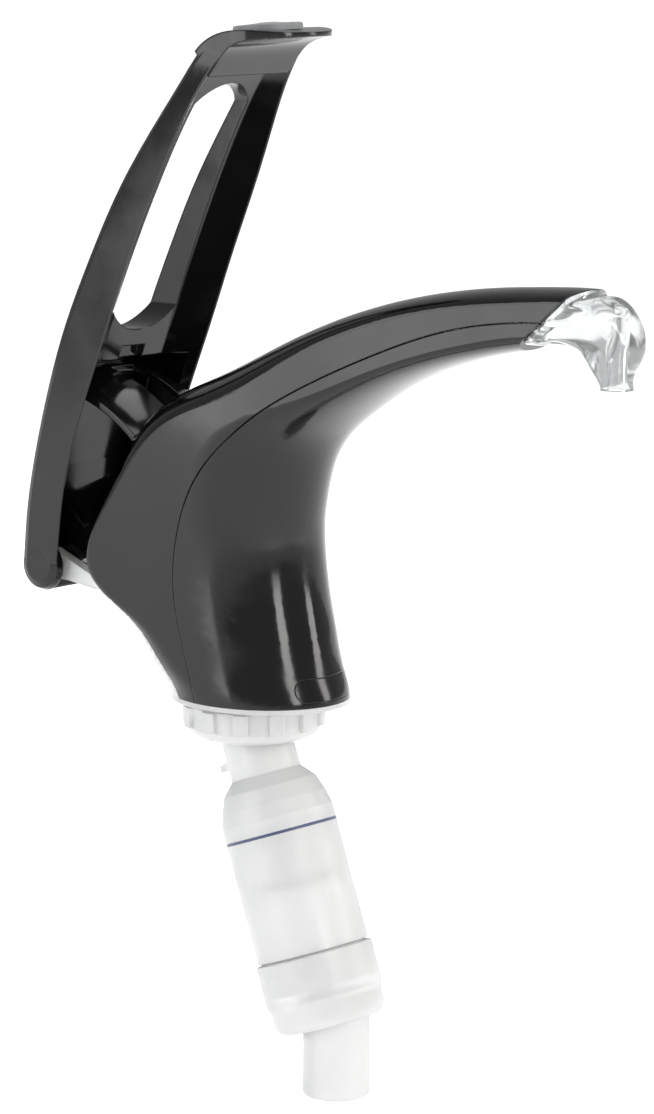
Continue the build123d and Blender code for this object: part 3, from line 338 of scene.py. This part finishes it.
class PUMP_OT_stage(bpy.types.Operator):
    """Lays the floor, hangs the lights and sets up the camera"""

    bl_idname = "pump.stage"
    bl_label = "Stage"

    def execute(self, context):
        scene = context.scene
        bm = bmesh.new()
        bmesh.ops.create_circle(bm, cap_ends=True, segments=ROUND_STEPS, radius=FLOOR_RADIUS)
        bmesh.ops.translate(bm, verts=bm.verts, vec=(0, 0, CAD_BOX[0][2] - FLOOR_GAP))
        material, surface = shader("stage", scene.pump_colours.stage, 0.9)
        surface.inputs["Specular IOR Level"].default_value = 0.0
        surface.inputs["Emission Color"].default_value = (1, 1, 1, 1)
        surface.inputs["Emission Strength"].default_value = 0.72
        tinted(material, 2.0, scene.pump_colours.stage, dimmed(scene.pump_colours.stage, 0.99))
        floor = finish_mesh("stage", bm, material)

        for name, place, size, power, tint in LAMPS:
            data = bpy.data.lights.new(name, "AREA")
            data.shape = "RECTANGLE"
            data.size, data.size_y = size
            data.energy = power
            data.color = tint
            lamp = bpy.data.objects.new(name, data)
            scene.collection.objects.link(lamp)
            lamp.location = place
            aim = LAMP_TARGET - lamp.location
            lamp.rotation_euler = aim.to_track_quat("-Z", "Y").to_euler()

        world = bpy.data.worlds.new("studio")
        world.use_nodes = True
        sky = world.node_tree.nodes["Background"]
        sky.inputs["Color"].default_value = (0.95, 0.96, 0.97, 1)
        sky.inputs["Strength"].default_value = 0.42
        scene.world = world
        scene.view_settings.view_transform = "Standard"

        data = bpy.data.cameras.new("camera")
        data.sensor_width = 36.0
        data.lens = CAMERA_LENS
        camera = bpy.data.objects.new("camera", data)
        scene.collection.objects.link(camera)
        level = Vector((sin(CAMERA_AROUND), -cos(CAMERA_AROUND), 0))
        away = level * cos(CAMERA_ABOVE) + Vector((0, 0, sin(CAMERA_ABOVE)))
        camera.location = CAMERA_TARGET + away * CAMERA_DISTANCE
        camera.rotation_euler = (-away).to_track_quat("-Z", "Y").to_euler()
        scene.camera = camera
        return {"FINISHED"}


class PUMP_OT_thumb_pad(bpy.types.Operator):
    """Makes the soft pad on top of the lever: a low dome with a rounded rim"""

    bl_idname = "pump.thumb_pad"
    bl_label = "Thumb pad"

    def execute(self, context):
        sizes = context.scene.pump_sizes
        bm = bmesh.new()
        bmesh.ops.create_circle(bm, cap_ends=True, segments=ROUND_STEPS, radius=PAD_RADIUS)
        bottom = bm.faces[:]
        raised = bmesh.ops.extrude_face_region(bm, geom=bottom)["geom"]
        top = [g for g in raised if isinstance(g, bmesh.types.BMFace)]
        top_verts = [g for g in raised if isinstance(g, bmesh.types.BMVert)]
        bmesh.ops.translate(bm, verts=top_verts, vec=(0, 0, PAD_HEIGHT))
        bmesh.ops.inset_region(bm, faces=top, thickness=sizes.pad_round, depth=0.0)
        for _ in range(PAD_RINGS):
            inset = max(v.co.xy.length for v in top[0].verts) * PAD_RING_SHARE
            bmesh.ops.inset_region(bm, faces=top, thickness=inset, depth=PAD_CROWN * PAD_RING_SHARE)
        bmesh.ops.recalc_face_normals(bm, faces=bm.faces)
        outer = {v for v in bm.verts if abs(v.co.xy.length - PAD_RADIUS) < 1e-5 and v.co.z > PAD_HEIGHT / 2}
        rim = [e for e in bm.edges if outer.issuperset(e.verts)]
        bmesh.ops.bevel(
            bm, geom=rim, offset=sizes.pad_round * 0.9, offset_type="OFFSET", segments=5,
            profile=0.5, affect="EDGES", material=-1,
        )
        bmesh.ops.rotate(bm, verts=bm.verts, cent=(0, 0, 0), matrix=Matrix.Rotation(-PAD_LEAN, 3, "Y"))
        bmesh.ops.translate(bm, verts=bm.verts, vec=PAD_FOOT)
        pad = finish_mesh("pad", bm, soft_rubber("pad rubber", context.scene.pump_colours.pad), 50)
        stands_for(pad, "thumb_pad", "lever")
        return {"FINISHED"}


class PUMP_OT_bottom_cap(bpy.types.Operator):
    """Turns the cap that screws on to the barrel, and its upright intake tail"""

    bl_idname = "pump.bottom_cap"
    bl_label = "Bottom cap"

    def execute(self, context):
        bm = bmesh.new()
        floor_low = CAP_FLOOR + 4.0
        turned(bm, (
            (SEAT_R, -CAP_FLOOR), (SKIRT_BORE_R, -CAP_FLOOR), (SKIRT_BORE_R, -CAP_TOP),
            (CAP_R - 0.6, -CAP_TOP), (CAP_R - 0.15, -CAP_TOP - 0.3), (CAP_R, -CAP_TOP - 0.9),
            (CAP_R, 12.6 - CAP_END), (CAP_R - 0.3, 11.4 - CAP_END), (CAP_R - 1.0, 10.6 - CAP_END),
            (CAP_R - 1.2, 9.6 - CAP_END), (CAP_R - 1.2, 4.6 - CAP_END), (CAP_R - 1.8, 2.9 - CAP_END),
            (CAP_R - 3.2, 1.2 - CAP_END), (CAP_R - 4.8, 0.2 - CAP_END), (CAP_R - 6.4, 0.1 - CAP_END),
            (CAP_R - 7.3, 0.5 - CAP_END), (CAP_R - 7.5, 1.3 - CAP_END), (CAP_R - 7.5, -floor_low),
            (SEAT_R, -floor_low),
        ))
        on_axis(bm)
        tail = bmesh.new()
        turned(tail, (
            (TAIL_BORE_R, -117.0), (TAIL_BORE_R, TAIL_END + 0.9), (TAIL_BORE_R + 0.5, TAIL_END + 0.2),
            (TAIL_BORE_R + 1.2, TAIL_END), (TAIL_R - 1.2, TAIL_END), (TAIL_R - 0.4, TAIL_END + 0.3),
            (TAIL_R, TAIL_END + 1.1), (TAIL_R, -117.0),
        ))
        bmesh.ops.translate(tail, verts=tail.verts, vec=(TAIL_X * MM, 0, 0))
        # the tail ends inside the floor of the cap
        top = AXIS_AT + DOWN * (CAP_FLOOR + 1.5) * MM
        cut = bmesh.ops.bisect_plane(
            tail, geom=tail.verts[:] + tail.edges[:] + tail.faces[:], plane_co=top, plane_no=-DOWN,
            clear_outer=True,
        )["geom_cut"]
        bmesh.ops.holes_fill(tail, edges=[g for g in cut if isinstance(g, bmesh.types.BMEdge)])
        tail_mesh = bpy.data.meshes.new("tail")
        tail.to_mesh(tail_mesh)
        tail.free()
        bm.from_mesh(tail_mesh)
        bpy.data.meshes.remove(tail_mesh)
        material = natural_plastic(context.scene.pump_colours.natural)
        cap = finish_mesh("cap", bm, material, 40)
        stands_for(cap, "bottom_cap", "base")
        return {"FINISHED"}


class PUMP_OT_spring(bpy.types.Operator):
    """Winds the return spring round the pump axis"""

    bl_idname = "pump.spring"
    bl_label = "Return spring"

    def execute(self, context):
        sizes = context.scene.pump_sizes
        low, high = spring_ends()
        pitch = (high - low - sizes.spring_wire) / sizes.spring_turns
        bm = bmesh.new()
        wire = sizes.spring_wire / 2
        bmesh.ops.create_circle(bm, cap_ends=True, segments=SPRING_WIRE_SIDES, radius=wire)
        upright = Matrix.Rotation(pi / 2, 3, "X")
        bmesh.ops.rotate(bm, verts=bm.verts, cent=(0, 0, 0), matrix=upright)
        bmesh.ops.translate(bm, verts=bm.verts, vec=(SPRING_RADIUS, 0, wire))
        bmesh.ops.spin(
            bm, geom=bm.faces[:] + bm.edges[:] + bm.verts[:], cent=(0, 0, 0), axis=(0, 0, 1),
            dvec=(0, 0, pitch / SPRING_STEPS_A_TURN), angle=2 * pi * sizes.spring_turns,
            steps=SPRING_STEPS_A_TURN * sizes.spring_turns, use_merge=False,
        )
        bmesh.ops.remove_doubles(bm, verts=bm.verts, dist=1e-7)
        bmesh.ops.recalc_face_normals(bm, faces=bm.faces)
        on_axis(bm)
        bmesh.ops.translate(bm, verts=bm.verts, vec=-DOWN * low)
        material = steel("spring steel", dimmed(context.scene.pump_colours.steel, 0.8), 0.3)
        spring = finish_mesh("spring", bm, material, 60)
        stands_for(spring, "return_spring", "base")
        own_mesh(spring)
        return {"FINISHED"}


class PUMP_OT_finishes(bpy.types.Operator):
    """Gives the pieces that keep their frame shape their own materials"""

    bl_idname = "pump.finishes"
    bl_label = "Finishes"

    def execute(self, context):
        sizes, colours = context.scene.pump_sizes, context.scene.pump_colours
        natural = bpy.data.materials["natural plastic"]
        white = white_plastic()
        clear = clear_plastic()
        seal = soft_rubber("seal rubber", colours.seal, 0.45)
        black = soft_rubber("black rubber", (0.012, 0.012, 0.012), 0.5)
        bright = steel("bright steel", colours.steel, 0.16)
        dull = bpy.data.materials["spring steel"]
        shell = gloss_plastic("shell plastic", colours.shell, sizes.shell_round)
        lever = gloss_plastic("lever plastic", colours.shell, sizes.lever_round)
        for material, names in (
            (natural, ("inner_frame", "lock_nut", "pump_head", "barrel", "discharge_tube")),
            (white, ("inlet_cage", "piston", "plunger_rod", "crosshead", "rod_guide")),
            (clear, ("nozzle",)),
            (seal, ("barrel_seal",)),
            (black, ("piston_seal", "rod_oring", "nozzle_oring")),
            (bright, ("inlet_ball", "outlet_ball", "pivot_pin", "drive_pins", "shell_screws")),
            (dull, ("rod_clip", "ball_stop_pin")),
            (shell, ("front_shell", "rear_shell", "nameplate")),
            (lever, ("lever_handle",)),
        ):
            for name in names:
                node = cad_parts[name]
                node.data.materials.clear()
                node.data.materials.append(material)
        return {"FINISHED"}


class PUMP_PT_panel(bpy.types.Panel):
    """Sizes, colours and pieces of the pump"""

    bl_idname = "PUMP_PT_panel"
    bl_label = "Condiment pump"
    bl_space_type = "VIEW_3D"
    bl_region_type = "UI"
    bl_category = "Pump"

    def draw(self, context):
        layout = self.layout
        for group in (context.scene.pump_sizes, context.scene.pump_colours):
            for name in group.bl_rna.properties.keys():
                if name not in ("rna_type", "name"):
                    layout.prop(group, name)
        for piece in PIECES:
            layout.operator(piece.bl_idname)


PIECES = (
    PUMP_OT_stage, PUMP_OT_thumb_pad, PUMP_OT_bottom_cap, PUMP_OT_spring, PUMP_OT_finishes,
)
CLASSES = (PumpSizes, PumpColours, *PIECES, PUMP_PT_panel)


def register():
    for cls in CLASSES:
        bpy.utils.register_class(cls)
    bpy.types.Scene.pump_sizes = PointerProperty(type=PumpSizes)
    bpy.types.Scene.pump_colours = PointerProperty(type=PumpColours)


def unregister():
    del bpy.types.Scene.pump_colours
    del bpy.types.Scene.pump_sizes
    for cls in reversed(CLASSES):
        bpy.utils.unregister_class(cls)


def main():
    """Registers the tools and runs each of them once."""
    register()
    bpy.ops.pump.stage()
    bpy.ops.pump.thumb_pad()
    bpy.ops.pump.bottom_cap()
    bpy.ops.pump.spring()
    bpy.ops.pump.finishes()


if __name__ == "__main__":
    main()
